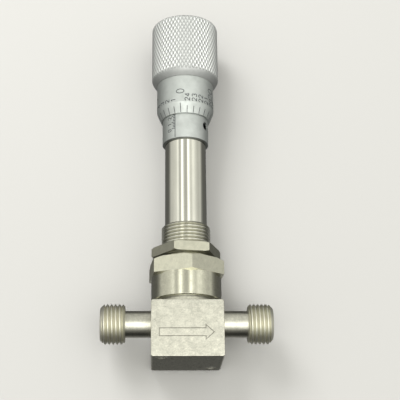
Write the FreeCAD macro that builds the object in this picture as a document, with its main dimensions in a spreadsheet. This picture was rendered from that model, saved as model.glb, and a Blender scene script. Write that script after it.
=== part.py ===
import FreeCAD, Part
import math
import os
import re
import Sketcher

# Bellows-sealed fine metering needle valve with a micrometer handle.
# Millimetres. The stem axis is Z, the flow runs along +X, the face with the arrow looks along -Y,
# and z = 0 is the flat bottom of the body.  The valve is drawn 5.74 mm (0.226 in) open.

Vector = FreeCAD.Vector
Rotation = FreeCAD.Rotation
Placement = FreeCAD.Placement

DIMENSIONS = {
    # motion: one turn of the knob lifts the stem by the spindle's lead
    "lead": 0.635,
    "opening": 5.7404,
    "full_opening": 6.35,
    # square body with two male ends on one flow axis
    "body_width": 25.4,
    "body_height": 20.07,
    "body_corner": 0.9,
    "body_edge": 0.22,
    "flow_height": 14.1,
    "port_radius": 2.3,
    "port_depth": 25.7,
    "neck_radius": 4.76,
    "end_reach": 30.7,
    "end_thread_radius": 7.14,
    "end_thread_length": 8.8,
    "end_thread_pitch": 1.411,
    "end_lead": 1.4,
    "end_chamfer": 0.75,
    "end_recess_radius": 5.2,
    "end_recess": 0.5,
    "bead_radius": 3.9,
    "bead_height": 0.4,
    # boss on top of the body, seat chamber and seat
    "boss_relief_radius": 10.5,
    "boss_radius": 11.1,
    "boss_thread_start": 22.6,
    "boss_top": 28.0,
    "chamber_radius": 7.0,
    "seat_height": 17.2,
    "seat_chamfer": 0.4,
    "orifice_radius": 0.8,
    "orifice_bottom": 8.6,
    "drill_radius": 1.2,
    # arrow on the front face
    "arrow_height": 8.45,
    "arrow_tail": 9.95,
    "arrow_neck": 6.1,
    "arrow_tip": 9.3,
    "arrow_shaft": 1.52,
    "arrow_head": 2.9,
    "arrow_line": 0.3,
    "arrow_depth": 0.15,
    # two tapped holes under the body, on a diagonal
    "foot_hole_place": 9.0,
    "foot_hole_radius": 1.75,
    "foot_hole_depth": 6.0,
    "foot_hole_rim": 2.15,
    # stack clamped by the bonnet nut
    "gasket_thickness": 0.5,
    "gasket_inner": 8.4,
    "flange_radius": 10.7,
    "bellows_flange_thickness": 2.0,
    "bonnet_flange_thickness": 2.5,
    "stem_radius": 2.5,
    "stem_clearance": 0.08,
    # bellows
    "bellows_outer": 5.4,
    "bellows_inner": 4.1,
    "bellows_wall": 0.15,
    "bellows_start": 31.4,
    "bellows_end": 62.4,
    "bellows_waves": 14,
    "bellows_cuff": 1.2,
    # bonnet with panel thread and long tube
    "bonnet_lip_radius": 5.6,
    "bonnet_bore": 6.9,
    "panel_thread_radius": 9.0,
    "panel_thread_start": 36.9,
    "panel_thread_top": 50.5,
    "panel_thread_pitch": 1.27,
    "tube_radius": 7.75,
    "tube_top": 93.0,
    # bonnet nut and panel nut
    "skirt_bottom": 21.9,
    "skirt_radius": 12.7,
    "hex_bottom": 31.0,
    "hex_top": 36.7,
    "bonnet_nut_across": 25.4,
    "bonnet_nut_turn": 36.6,
    "bonnet_nut_chamfer": 13.3,
    "panel_nut_across": 22.2,
    "panel_nut_turn": 8.7,
    "panel_nut_chamfer": 12.15,
    "panel_nut_bottom": 38.45,
    "panel_nut_top": 41.95,
    "nut_clearance": 0.08,
    # return spring
    "spring_radius": 6.25,
    "spring_wire": 0.4,
    "spring_turns": 9,
    # stem train
    "needle_shoulder": 1.6,
    "needle_shank": 1.2,
    "needle_point": 0.15,
    "needle_taper_length": 6.6,
    "stem_bottom": 25.2,
    "shank_depth": 4.0,
    "cap_thickness": 2.0,
    "spring_seat_thickness": 1.2,
    "retaining_ring_thickness": 0.8,
    "retaining_groove": 2.1,
    "stem_top": 73.5,
    "button_bottom": 71.0,
    "button_top": 75.0,
    "button_radius": 6.8,
    "ball_radius": 2.0,
    "ball_centre": 76.2,
    # micrometer head
    "bush_bottom": 84.4,
    "spindle_radius": 3.17,
    "spindle_clearance": 0.04,
    "sleeve_bottom": 83.6,
    "sleeve_radius": 8.74,
    "sleeve_top": 108.0,
    "sleeve_web": 94.6,
    "spindle_nut_radius": 6.2,
    "spindle_nut_top": 112.0,
    "spindle_nut_neck": 5.6,
    "adjusting_nut_radius": 7.6,
    "adjusting_nut_top": 111.4,
    "lock_hole_height": 90.0,
    "lock_hole_angle": -31.0,
    "lock_hole_radius": 1.6,
    "lock_hole_depth": 6.0,
    "lock_screw_inner": 4.7,
    "lock_screw_outer": 8.3,
    "lock_screw_key": 1.6,
    "spindle_thread_radius": 3.8,
    "spindle_thread_start": 99.6,
    "spindle_seat": 117.8,
    "spindle_end_radius": 3.3,
    "thimble_bottom": 93.48,
    "thimble_rim_radius": 9.32,
    "thimble_bevel_top": 97.46,
    "thimble_radius": 10.9,
    "thimble_bore": 8.86,
    "thimble_web": 118.4,
    "thimble_top": 124.0,
    # knob
    "knob_bottom": 108.5,
    "knob_bottom_radius": 11.15,
    "knob_land": 111.3,
    "knob_radius": 12.9,
    "knob_top": 133.95,
    "knob_top_chamfer": 0.5,
    "knob_cavity_radius": 8.5,
    "knob_roof": 131.4,
    "cap_screw_radius": 1.5,
    "cap_screw_head": 2.9,
    "cap_screw_head_height": 2.0,
    "cap_screw_key": 2.5,
    "washer_radius": 4.6,
    "washer_thickness": 0.8,
    "knob_screw_height": 119.0,
    "knob_screw_radius": 1.25,
    "knob_screw_key": 1.25,
    "knob_screw_setback": 0.3,
}

DEGREES = 180 / math.pi
FULL_TURN = 360
RING_TURN = 310  # a retaining ring is open so that it can be sprung into its groove
CHAMFER_REACH = 2.6  # radial width of the cut that chamfers a hexagon's corners
CHAMFER_SLOPE = math.tan(30 / DEGREES)
DRILL_POINT = 0.577  # length of a 120-degree drill point for each millimetre of radius

doc = FreeCAD.newDocument("needle_valve")
sheet = doc.addObject("Spreadsheet::Sheet", "dims")
for row, (name, value) in enumerate(DIMENSIONS.items(), start=1):
    sheet.set("A%d" % row, name)
    sheet.set("B%d" % row, str(value))
    sheet.setAlias("B%d" % row, name)
doc.recompute()

parts = {}


def bound(text):
    """Turns words of the sheet into references to its cells."""

    def cell(match):
        word = match.group()
        return "dims." + word if word in DIMENSIONS else word

    return re.sub(r"[a-z_]+", cell, text)


def size(text):
    """Value of an expression in the sheet's words."""
    return float(sheet.evalExpression(bound(text)))


def bind(item, **properties):
    for name, text in properties.items():
        item.setExpression(name.replace("__", "."), bound(text))


def new_body(label):
    body = doc.addObject("PartDesign::Body", label)
    body.Label = label
    parts[label] = body
    return body


def plane(body, role):
    return next(item for item in body.Origin.OriginFeatures if item.Role == role)


def outline(body, name, points, role="XZ_Plane", offset=None):
    """Sketch of one closed outline whose corners are expressions of the sheet."""
    sketch = body.newObject("Sketcher::SketchObject", name)
    sketch.AttachmentSupport = (plane(body, role), [""])
    sketch.MapMode = "FlatFace"
    if offset:
        bind(sketch, **offset)
    add_loop(sketch, points)
    return sketch


def add_loop(sketch, points):
    first = sketch.GeometryCount
    corners = [Vector(size(across), size(up), 0) for across, up in points]
    count = len(corners)
    for index, corner in enumerate(corners):
        sketch.addGeometry(Part.LineSegment(corner, corners[(index + 1) % count]), False)
    for index, (across, up) in enumerate(points):
        line = first + index
        following = first + (index + 1) % count
        sketch.addConstraint(Sketcher.Constraint("Coincident", line, 2, following, 1))
        for kind, text in (("DistanceX", across), ("DistanceY", up)):
            number = sketch.addConstraint(Sketcher.Constraint(kind, -1, 1, line, 1, size(text)))
            sketch.setExpression("Constraints[%d]" % number, bound(text))


def turn(body, name, points, kind="Revolution", axis="V_Axis", offset=None, sweep=FULL_TURN):
    """Turn of an outline round the sketch's own axis."""
    sketch = outline(body, name + "_outline", points, offset=offset)
    feature = body.newObject("PartDesign::" + kind, name)
    feature.Profile = sketch
    feature.ReferenceAxis = (sketch, [axis])
    feature.Angle = sweep
    sketch.Visibility = False
    doc.recompute()
    return feature


def turned(label, points, sweep=FULL_TURN):
    body = new_body(label)
    turn(body, label + "_turned", points, sweep=sweep)
    return body


def ring(label, inner, outer, bottom, top, sweep=FULL_TURN):
    return turned(label, [(inner, bottom), (outer, bottom), (outer, top), (inner, top)], sweep)


def cut_thread(body, name, radius, start, length, pitch, axis, offset=None):
    """Right-hand V groove, 0.61 pitch deep, that runs out at both ends of its cylinder."""
    depth = "0.61 * " + pitch
    crest = "(" + radius + " + 0.05 * " + pitch + ")"
    corners = [
        (start + " - 0.42 * " + pitch, crest),
        (start, radius + " - " + depth),
        (start + " + 0.42 * " + pitch, crest),
    ]
    if axis == "V_Axis":
        corners = [(up, across) for across, up in corners]
    sketch = outline(body, name + "_groove", corners, offset=offset)
    helix = body.newObject("PartDesign::SubtractiveHelix", name)
    helix.Profile = sketch
    helix.ReferenceAxis = (sketch, [axis])
    helix.Mode = 0
    bind(helix, Pitch=pitch, Height=length)
    sketch.Visibility = False
    doc.recompute()
    return helix


def drill(body, name, radius, depth, start, direction):
    """Round hole from start along a direction."""
    hole = body.newObject("PartDesign::SubtractiveCylinder", name)
    hole.AttachmentSupport = (plane(body, "XY_Plane"), [""])
    hole.MapMode = "FlatFace"
    hole.AttachmentOffset = Placement(start, Rotation(Vector(0, 0, 1), direction))
    bind(hole, Radius=radius, Height=depth)
    doc.recompute()
    return hole


def polar(radius, angle, height):
    return Vector(radius * math.cos(angle / DEGREES), radius * math.sin(angle / DEGREES), height)


def hexagon(body, name, kind, across, height, length):
    """Hexagonal Pad or Pocket from a height along Z, one corner on the X axis."""
    corner = across + " / sqrt(3)"
    side = across + " / 2"
    points = [
        (corner, "0"),
        (corner + " / 2", side),
        ("-" + corner + " / 2", side),
        ("-" + corner, "0"),
        ("-" + corner + " / 2", "-" + side),
        (corner + " / 2", "-" + side),
    ]
    sketch = outline(body, name + "_hexagon", points, "XY_Plane", {"AttachmentOffset__Base__z": height})
    feature = body.newObject("PartDesign::" + kind, name)
    feature.Profile = sketch
    bind(feature, Length=length)
    sketch.Visibility = False
    doc.recompute()


def chamfer_corners(body, name, inside, face, rise):
    """Thirty-degree turned chamfer on a hexagon's corners; rise is + for a bottom face, - for a top one."""
    outside = inside + " + %.3f" % CHAMFER_REACH
    points = [
        (inside, face),
        (outside, face),
        (outside, face + rise + "%.3f" % (CHAMFER_REACH * CHAMFER_SLOPE)),
    ]
    return turn(body, name, points, "Groove")


def turn_round(body, angle):
    body.Placement = Placement(Vector(), Rotation(Vector(0, 0, 1), size(angle)))


def round_edges(body, name, base, chosen, radius):
    """Fillet on the edges of a feature that a test picks."""
    edges = ["Edge%d" % (number + 1) for number, edge in enumerate(base.Shape.Edges) if chosen(edge)]
    fillet = body.newObject("PartDesign::Fillet", name)
    fillet.Base = (base, edges)
    bind(fillet, Radius=radius)
    doc.recompute()
    return fillet


def make_valve_body():
    body = new_body("valve_body")
    half = "body_width / 2"
    section = [("-" + half, "0"), (half, "0"), (half, "body_height"), ("-" + half, "body_height")]
    block = body.newObject("PartDesign::Pad", "block")
    block.Profile = outline(body, "block_section", section)
    block.Midplane = True
    bind(block, Length="body_width")
    doc.recompute()

    def runs_along_y(edge):
        return abs(edge.tangentAt(edge.FirstParameter).y) > 0.99

    def bounds_an_end_face(edge):
        return edge.BoundBox.YLength < 0.01

    corners = round_edges(body, "corners", block, runs_along_y, "body_corner")
    round_edges(body, "broken_edges", corners, bounds_an_end_face, "body_edge")

    boss = [
        ("0", "body_height - 1"),
        ("boss_relief_radius", "body_height - 1"),
        ("boss_relief_radius", "boss_thread_start - 0.6"),
        ("boss_radius", "boss_thread_start"),
        ("boss_radius", "boss_top - 0.5"),
        ("boss_radius - 0.5", "boss_top"),
        ("0", "boss_top"),
    ]
    turn(body, "boss", boss)

    on_flow_axis = {"AttachmentOffset__Base__y": "flow_height"}
    for side, sign in (("inlet", "-"), ("outlet", "")):
        collar = "(end_reach - end_thread_length)"
        end = [
            (sign + "(body_width / 2 - 1)", "0"),
            (sign + "end_reach", "0"),
            (sign + "end_reach", "end_thread_radius - end_lead"),
            (sign + "(end_reach - end_lead)", "end_thread_radius"),
            (sign + "(" + collar + " + end_chamfer)", "end_thread_radius"),
            (sign + collar, "end_thread_radius - end_chamfer"),
            (sign + collar, "neck_radius"),
            (sign + "(body_width / 2 - 1)", "neck_radius"),
        ]
        turn(body, side + "_end", end, axis="H_Axis", offset=on_flow_axis)
        bead = [
            (sign + "(end_reach + 1)", "0"),
            (sign + "(end_reach + 1)", "end_recess_radius"),
            (sign + "(end_reach - end_recess)", "end_recess_radius"),
            (sign + "(end_reach - end_recess)", "bead_radius + bead_height"),
            (sign + "(end_reach - end_recess + bead_height)", "bead_radius + 0.35 * bead_height"),
            (sign + "(end_reach - end_recess + bead_height)", "bead_radius - 0.35 * bead_height"),
            (sign + "(end_reach - end_recess)", "bead_radius - bead_height"),
            (sign + "(end_reach - end_recess)", "port_radius"),
            (sign + "(end_reach - port_depth)", "port_radius"),
            (sign + "(end_reach - port_depth - %.3f * port_radius)" % DRILL_POINT, "0"),
        ]
        turn(body, side + "_port", bead, "Groove", "H_Axis", on_flow_axis)

    for side, start in (
        ("inlet", "-end_reach - 1.74 * end_thread_pitch"),
        ("outlet", "end_reach - end_thread_length - end_thread_pitch"),
    ):
        cut_thread(
            body,
            side + "_thread",
            "end_thread_radius",
            start,
            "end_thread_length + 2.74 * end_thread_pitch",
            "end_thread_pitch",
            "H_Axis",
            on_flow_axis,
        )

    seat = [
        ("0", "boss_top + 1"),
        ("chamber_radius", "boss_top + 1"),
        ("chamber_radius", "seat_height"),
        ("orifice_radius + seat_chamfer", "seat_height"),
        ("orifice_radius", "seat_height - seat_chamfer"),
        ("orifice_radius", "orifice_bottom"),
        ("0", "orifice_bottom - %.3f * orifice_radius" % DRILL_POINT),
    ]
    turn(body, "seat_chamber", seat, "Groove")

    flow = size("flow_height")
    port_end = size("end_reach - port_depth")
    inlet_foot = Vector(-port_end - 1, 0, flow)
    to_orifice = Vector(0, 0, size("orifice_bottom") + 1.4) - inlet_foot
    drill(body, "inlet_passage", "drill_radius", "%.3f" % to_orifice.Length, inlet_foot, to_orifice)
    outlet_foot = Vector(port_end + 0.5, 0, flow)
    to_chamber = Vector(port_end - 1.2, 0, size("seat_height") + 1.5) - outlet_foot
    drill(body, "outlet_passage", "drill_radius", "%.3f" % to_chamber.Length, outlet_foot, to_chamber)

    place = size("foot_hole_place")
    upwards = Vector(0, 0, 1)
    for number, sign in enumerate((-1, 1)):
        foot = Vector(sign * place, sign * place, -0.5)
        drill(body, "foot_hole_%d" % number, "foot_hole_radius", "foot_hole_depth + 0.5", foot, upwards)
        rim = body.newObject("PartDesign::SubtractiveCone", "foot_rim_%d" % number)
        rim.AttachmentSupport = (plane(body, "XY_Plane"), [""])
        rim.MapMode = "FlatFace"
        rim.AttachmentOffset = Placement(foot, Rotation())
        bind(rim, Radius1="foot_hole_rim + 0.5", Radius2="foot_hole_radius")
        bind(rim, Height="foot_hole_rim + 0.5 - foot_hole_radius")
        doc.recompute()

    engrave_arrow(body)
    return body


def engrave_arrow(body):
    """Groove along the outline of an arrow that points downstream."""
    line = "arrow_line"
    slope = "(arrow_head / (arrow_tip - arrow_neck))"
    outer = [
        ("-arrow_tail", "-arrow_shaft"),
        ("arrow_neck", "-arrow_shaft"),
        ("arrow_neck", "-arrow_head"),
        ("arrow_tip", "0"),
        ("arrow_neck", "arrow_head"),
        ("arrow_neck", "arrow_shaft"),
        ("-arrow_tail", "arrow_shaft"),
    ]
    inner_head = "(arrow_head - 2.4 * " + line + " * " + slope + ")"
    inner = [
        ("-arrow_tail + " + line, "-arrow_shaft + " + line),
        ("arrow_neck + " + line, "-arrow_shaft + " + line),
        ("arrow_neck + " + line, "-" + inner_head),
        ("arrow_neck + " + line + " + " + inner_head + " / " + slope, "0"),
        ("arrow_neck + " + line, inner_head),
        ("arrow_neck + " + line, "arrow_shaft - " + line),
        ("-arrow_tail + " + line, "arrow_shaft - " + line),
    ]
    front = {"AttachmentOffset__Base__y": "arrow_height", "AttachmentOffset__Base__z": "body_width / 2"}
    sketch = outline(body, "arrow_outline", outer, offset=front)
    add_loop(sketch, inner)
    pocket = body.newObject("PartDesign::Pocket", "arrow")
    pocket.Profile = sketch
    bind(pocket, Length="arrow_depth")
    before = body.Shape.Volume
    doc.recompute()
    if not body.Shape.Volume < before - 1:
        raise RuntimeError("the arrow cuts nothing")


def make_seals():
    ring("body_gasket", "gasket_inner", "flange_radius - 0.3", "boss_top", "boss_top + gasket_thickness")
    base = "boss_top + gasket_thickness"
    top = base + " + bellows_flange_thickness"
    hole = "stem_radius + stem_clearance"
    turned(
        "bellows_flange",
        [
            (hole, base),
            ("flange_radius", base),
            ("flange_radius", top),
            ("bellows_outer - 0.5", top),
            ("bellows_outer - 0.5", "bellows_start + bellows_cuff - 0.2"),
            ("bellows_outer - 1.1", "bellows_start + bellows_cuff - 0.2"),
            ("bellows_outer - 1.1", top),
            (hole, top),
        ],
    )


def make_bellows():
    """Thin wall whose radius goes up and down as a cosine, with a straight cuff at each end."""
    outer = size("bellows_outer")
    inner = size("bellows_inner")
    wall = size("bellows_wall")
    low = size("bellows_start") + size("bellows_cuff")
    high = size("bellows_end") - size("bellows_cuff")
    waves = int(size("bellows_waves"))
    steps = 8

    middle = (outer + inner) / 2
    swing = (outer - inner) / 2
    wave_line = []
    for step in range(waves * steps + 1):
        angle = 2 * math.pi * step / steps
        radius = middle + swing * math.cos(angle) - wall
        wave_line.append(Vector(radius, 0, low + (high - low) * step / (waves * steps)))
    shift = Vector(wall, 0, 0)
    cuff = Vector(0, 0, size("bellows_cuff"))
    line = [wave_line[0] - cuff] + wave_line + [wave_line[-1] + cuff]
    section = line + [point + shift for point in reversed(line)]
    face = Part.Face(Part.makePolygon(section + section[:1]))
    bellows = doc.addObject("Part::Feature", "bellows")
    bellows.Shape = face.revolve(Vector(), Vector(0, 0, 1), 360)
    bellows.Label = "bellows"
    bellows.Placement = Placement()
    parts["bellows"] = bellows


def make_bonnet():
    base = "boss_top + gasket_thickness + bellows_flange_thickness"
    flange_top = "(" + base + " + bonnet_flange_thickness)"
    body = new_body("bonnet")
    turn(
        body,
        "bonnet_turned",
        [
            ("bonnet_lip_radius", base),
            ("flange_radius", base),
            ("flange_radius", flange_top),
            ("panel_thread_radius - 0.9", flange_top),
            ("panel_thread_radius - 0.9", "panel_thread_start - 0.9"),
            ("panel_thread_radius", "panel_thread_start"),
            ("panel_thread_radius", "panel_thread_top - 0.7"),
            ("panel_thread_radius - 0.7", "panel_thread_top"),
            ("tube_radius", "panel_thread_top"),
            ("tube_radius", "tube_top - 0.4"),
            ("tube_radius - 0.4", "tube_top"),
            ("bonnet_bore", "tube_top"),
            ("bonnet_bore", flange_top + " + 0.3"),
            ("bonnet_lip_radius", flange_top + " + 0.3"),
        ],
    )
    cut_thread(
        body,
        "panel_thread",
        "panel_thread_radius",
        "panel_thread_start - 2 * panel_thread_pitch",
        "panel_thread_top - panel_thread_start + 3 * panel_thread_pitch",
        "panel_thread_pitch",
        "V_Axis",
    )
    lock_hole(body)


def lock_hole(body):
    """Radial hole for the screw that locks the micrometer head to the tube."""
    angle = size("lock_hole_angle")
    start = polar(size("lock_screw_inner") - 0.1, angle, size("lock_hole_height"))
    name = body.Label + "_lock_hole"
    drill(body, name, "lock_hole_radius", "lock_hole_depth", start, polar(1, angle, 0))


def make_bonnet_nut():
    body = new_body("bonnet_nut")
    hexagon(body, "bonnet_hex", "Pad", "bonnet_nut_across", "hex_bottom", "hex_top - hex_bottom")
    chamfer_corners(body, "bonnet_hex_top", "bonnet_nut_chamfer", "hex_top", " - ")
    skirt = [
        ("0", "skirt_bottom"),
        ("skirt_radius - 0.3", "skirt_bottom"),
        ("skirt_radius", "skirt_bottom + 0.3"),
        ("skirt_radius", "hex_bottom + 0.5"),
        ("0", "hex_bottom + 0.5"),
    ]
    turn(body, "skirt", skirt)
    shoulder = "boss_top + gasket_thickness + bellows_flange_thickness + bonnet_flange_thickness"
    bore = [
        ("0", "skirt_bottom - 1"),
        ("boss_radius + nut_clearance + 0.4", "skirt_bottom - 1"),
        ("boss_radius + nut_clearance + 0.4", "skirt_bottom"),
        ("boss_radius + nut_clearance", "skirt_bottom + 0.4"),
        ("boss_radius + nut_clearance", shoulder),
        ("panel_thread_radius + nut_clearance", shoulder),
        ("panel_thread_radius + nut_clearance", "hex_top - 0.4"),
        ("panel_thread_radius + nut_clearance + 0.4", "hex_top"),
        ("panel_thread_radius + nut_clearance + 0.4", "hex_top + 1"),
        ("0", "hex_top + 1"),
    ]
    turn(body, "bonnet_nut_bore", bore, "Groove")
    turn_round(body, "bonnet_nut_turn")


def make_panel_nut():
    body = new_body("panel_nut")
    thickness = "panel_nut_top - panel_nut_bottom"
    hexagon(body, "panel_hex", "Pad", "panel_nut_across", "panel_nut_bottom", thickness)
    chamfer_corners(body, "panel_hex_top", "panel_nut_chamfer", "panel_nut_top", " - ")
    chamfer_corners(body, "panel_hex_bottom", "panel_nut_chamfer", "panel_nut_bottom", " + ")
    wall = "panel_thread_radius + nut_clearance"
    bore = [
        ("0", "panel_nut_bottom - 1"),
        (wall + " + 0.5", "panel_nut_bottom - 1"),
        (wall + " + 0.5", "panel_nut_bottom"),
        (wall, "panel_nut_bottom + 0.5"),
        (wall, "panel_nut_top - 0.5"),
        (wall + " + 0.5", "panel_nut_top"),
        (wall + " + 0.5", "panel_nut_top + 1"),
        ("0", "panel_nut_top + 1"),
    ]
    turn(body, "panel_nut_bore", bore, "Groove")
    turn_round(body, "panel_nut_turn")


def make_return_spring():
    """Round wire wound as a helix between the bonnet's ledge and the spring seat."""
    base = "(boss_top + gasket_thickness + bellows_flange_thickness + bonnet_flange_thickness + 0.3)"
    top = "(bellows_end + cap_thickness - 0.4)"
    spine = doc.addObject("Part::Helix", "spring_line")
    rise = top + " - " + base + " - 2.2 * spring_wire"
    bind(spine, Radius="spring_radius", Height=rise, Pitch="(" + rise + ") / spring_turns")
    bind(spine, Placement__Base__z=base + " + 1.1 * spring_wire")
    wire = doc.addObject("Part::Circle", "spring_wire_section")
    bind(wire, Radius="spring_wire")
    start = Vector(size("spring_radius"), 0, size(base + " + 1.1 * spring_wire"))
    wire.Placement = Placement(start, Rotation(Vector(1, 0, 0), 90))
    spring = doc.addObject("Part::Sweep", "return_spring")
    spring.Sections = [wire]
    spring.Spine = (spine, [])
    spring.Solid = True
    spring.Frenet = True
    spring.Label = "return_spring"
    parts["return_spring"] = spring
    doc.recompute()


def make_stem_train():
    seat = "(seat_height + opening)"
    shoulder = "(" + seat + " + needle_shoulder - orifice_radius)"
    gap = 0.04
    turned(
        "valve_needle",
        [
            ("0", seat + " - needle_taper_length"),
            ("needle_point", seat + " - needle_taper_length"),
            ("orifice_radius - %.2f" % gap, seat + " - seat_chamfer"),
            ("needle_shoulder", shoulder + " - seat_chamfer + %.2f" % gap),
            ("needle_shoulder", "stem_bottom"),
            ("needle_shank", "stem_bottom"),
            ("needle_shank", "stem_bottom + shank_depth"),
            ("0", "stem_bottom + shank_depth"),
        ],
    )
    groove_bottom = "(bellows_end + cap_thickness - 0.4 + spring_seat_thickness)"
    groove_top = "(" + groove_bottom + " + retaining_ring_thickness)"
    turned(
        "stem_rod",
        [
            ("needle_shank", "stem_bottom"),
            ("stem_radius", "stem_bottom"),
            ("stem_radius", groove_bottom),
            ("retaining_groove", groove_bottom),
            ("retaining_groove", groove_top),
            ("stem_radius", groove_top),
            ("stem_radius", "stem_top"),
            ("0", "stem_top"),
            ("0", "stem_bottom + shank_depth"),
            ("needle_shank", "stem_bottom + shank_depth"),
        ],
    )
    turned(
        "bellows_cap",
        [
            ("stem_radius", "bellows_end - bellows_cuff + 0.2"),
            ("bellows_outer - 0.5", "bellows_end - bellows_cuff + 0.2"),
            ("bellows_outer - 0.5", "bellows_end"),
            ("bellows_outer", "bellows_end"),
            ("bellows_outer", "bellows_end + cap_thickness - 0.4"),
            ("stem_radius", "bellows_end + cap_thickness - 0.4"),
        ],
    )
    seat_bottom = "bellows_end + cap_thickness - 0.4"
    ring("spring_seat", "stem_radius", "bonnet_bore - 0.15", seat_bottom, groove_bottom)
    ring("retaining_ring", "retaining_groove", "stem_radius + 1.2", groove_bottom, groove_top, RING_TURN)
    # the ball's centre is 0.6 of its radius above the button, so the cone touches it at 0.8 of its radius
    touch = "(ball_radius * 0.8 + 0.01)"
    socket_floor = "(ball_centre - ball_radius - 0.2)"
    turned(
        "thrust_button",
        [
            ("0", "stem_top"),
            ("stem_radius", "stem_top"),
            ("stem_radius", "button_bottom"),
            ("button_radius", "button_bottom"),
            ("button_radius", "button_top"),
            (touch, "button_top"),
            (touch + " - 0.75 * (button_top - " + socket_floor + ")", socket_floor),
            ("0", socket_floor),
        ],
    )
    ball = doc.addObject("Part::Sphere", "thrust_ball")
    bind(ball, Radius="ball_radius", Placement__Base__z="ball_centre")
    parts["thrust_ball"] = ball


def make_micrometer_head():
    ring("guide_bush", "spindle_radius + spindle_clearance", "bonnet_bore", "bush_bottom", "tube_top")
    lock_hole(parts["guide_bush"])

    sleeve = turned(
        "micrometer_sleeve",
        [
            ("tube_radius", "sleeve_bottom"),
            ("sleeve_radius - 0.25", "sleeve_bottom"),
            ("sleeve_radius", "sleeve_bottom + 0.25"),
            ("sleeve_radius", "sleeve_top"),
            ("spindle_nut_radius", "sleeve_top"),
            ("spindle_nut_radius", "sleeve_web"),
            ("spindle_thread_radius + 0.7", "sleeve_web"),
            ("spindle_thread_radius + 0.7", "tube_top"),
            ("tube_radius", "tube_top"),
        ],
    )
    lock_hole(sleeve)
    turned(
        "spindle_nut",
        [
            ("spindle_thread_radius + spindle_clearance", "sleeve_web"),
            ("spindle_nut_radius", "sleeve_web"),
            ("spindle_nut_radius", "sleeve_top"),
            ("spindle_nut_neck", "sleeve_top"),
            ("spindle_nut_neck - 0.3", "spindle_nut_top"),
            ("spindle_thread_radius + spindle_clearance", "spindle_nut_top"),
        ],
    )
    ring("adjusting_nut", "spindle_nut_neck", "adjusting_nut_radius", "sleeve_top", "adjusting_nut_top")

    screw = new_body("sleeve_set_screw")
    turn(
        screw,
        "lock_screw_turned",
        [
            ("0", "lock_screw_inner"),
            ("lock_hole_radius - 0.45", "lock_screw_inner"),
            ("lock_hole_radius - 0.05", "lock_screw_inner + 0.4"),
            ("lock_hole_radius - 0.05", "lock_screw_outer - 0.25"),
            ("lock_hole_radius - 0.3", "lock_screw_outer"),
            ("0", "lock_screw_outer"),
        ],
    )
    hexagon(screw, "lock_screw_socket", "Pocket", "lock_screw_key", "lock_screw_outer", "1.8")
    angle = size("lock_hole_angle")
    outwards = Rotation(Vector(0, 0, 1), angle) * Rotation(Vector(0, 1, 0), 90)
    screw.Placement = Placement(Vector(0, 0, size("lock_hole_height")), outwards)


def make_handle():
    turned(
        "micrometer_spindle",
        [
            ("0", "ball_centre + ball_radius + 0.01"),
            ("spindle_radius - 0.3", "ball_centre + ball_radius + 0.01"),
            ("spindle_radius", "ball_centre + ball_radius + 0.31"),
            ("spindle_radius", "spindle_thread_start - 0.6"),
            ("spindle_thread_radius", "spindle_thread_start"),
            ("spindle_thread_radius", "spindle_seat"),
            ("spindle_end_radius", "thimble_web"),
            ("spindle_end_radius - 0.3", "thimble_top - 0.3"),
            ("cap_screw_radius", "thimble_top - 0.3"),
            ("cap_screw_radius", "spindle_seat - 1"),
            ("0", "spindle_seat - 1 - %.3f * cap_screw_radius" % DRILL_POINT),
        ],
    )
    turned(
        "thimble",
        [
            ("thimble_bore", "thimble_bottom"),
            ("thimble_rim_radius", "thimble_bottom"),
            ("thimble_radius", "thimble_bevel_top"),
            ("thimble_radius", "thimble_top"),
            ("spindle_end_radius - 0.3", "thimble_top"),
            ("spindle_end_radius - 0.3", "thimble_top - 0.3"),
            ("spindle_end_radius", "thimble_web"),
            ("thimble_bore", "thimble_web"),
        ],
    )
    washer_top = "(thimble_top + washer_thickness)"
    ring("thimble_washer", "cap_screw_radius + 0.05", "washer_radius", "thimble_top", washer_top)
    screw = turned(
        "spindle_cap_screw",
        [
            ("0", "spindle_seat"),
            ("cap_screw_radius", "spindle_seat"),
            ("cap_screw_radius", washer_top),
            ("cap_screw_head", washer_top),
            ("cap_screw_head", washer_top + " + cap_screw_head_height - 0.3"),
            ("cap_screw_head - 0.3", washer_top + " + cap_screw_head_height"),
            ("0", washer_top + " + cap_screw_head_height"),
        ],
    )
    head_top = washer_top + " + cap_screw_head_height"
    hexagon(screw, "cap_screw_socket", "Pocket", "cap_screw_key", head_top, "cap_screw_head_height / 2")
    knob = turned(
        "knob",
        [
            ("thimble_radius", "knob_bottom"),
            ("knob_bottom_radius", "knob_bottom"),
            ("knob_radius - 0.35", "knob_land - 0.75"),
            ("knob_radius", "knob_land"),
            ("knob_radius", "knob_top - knob_top_chamfer"),
            ("knob_radius - knob_top_chamfer", "knob_top"),
            ("0", "knob_top"),
            ("0", "knob_roof"),
            ("knob_cavity_radius", "knob_roof"),
            ("knob_cavity_radius", "thimble_top"),
            ("thimble_radius", "thimble_top"),
        ],
    )
    make_knob_screws(knob)


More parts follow.
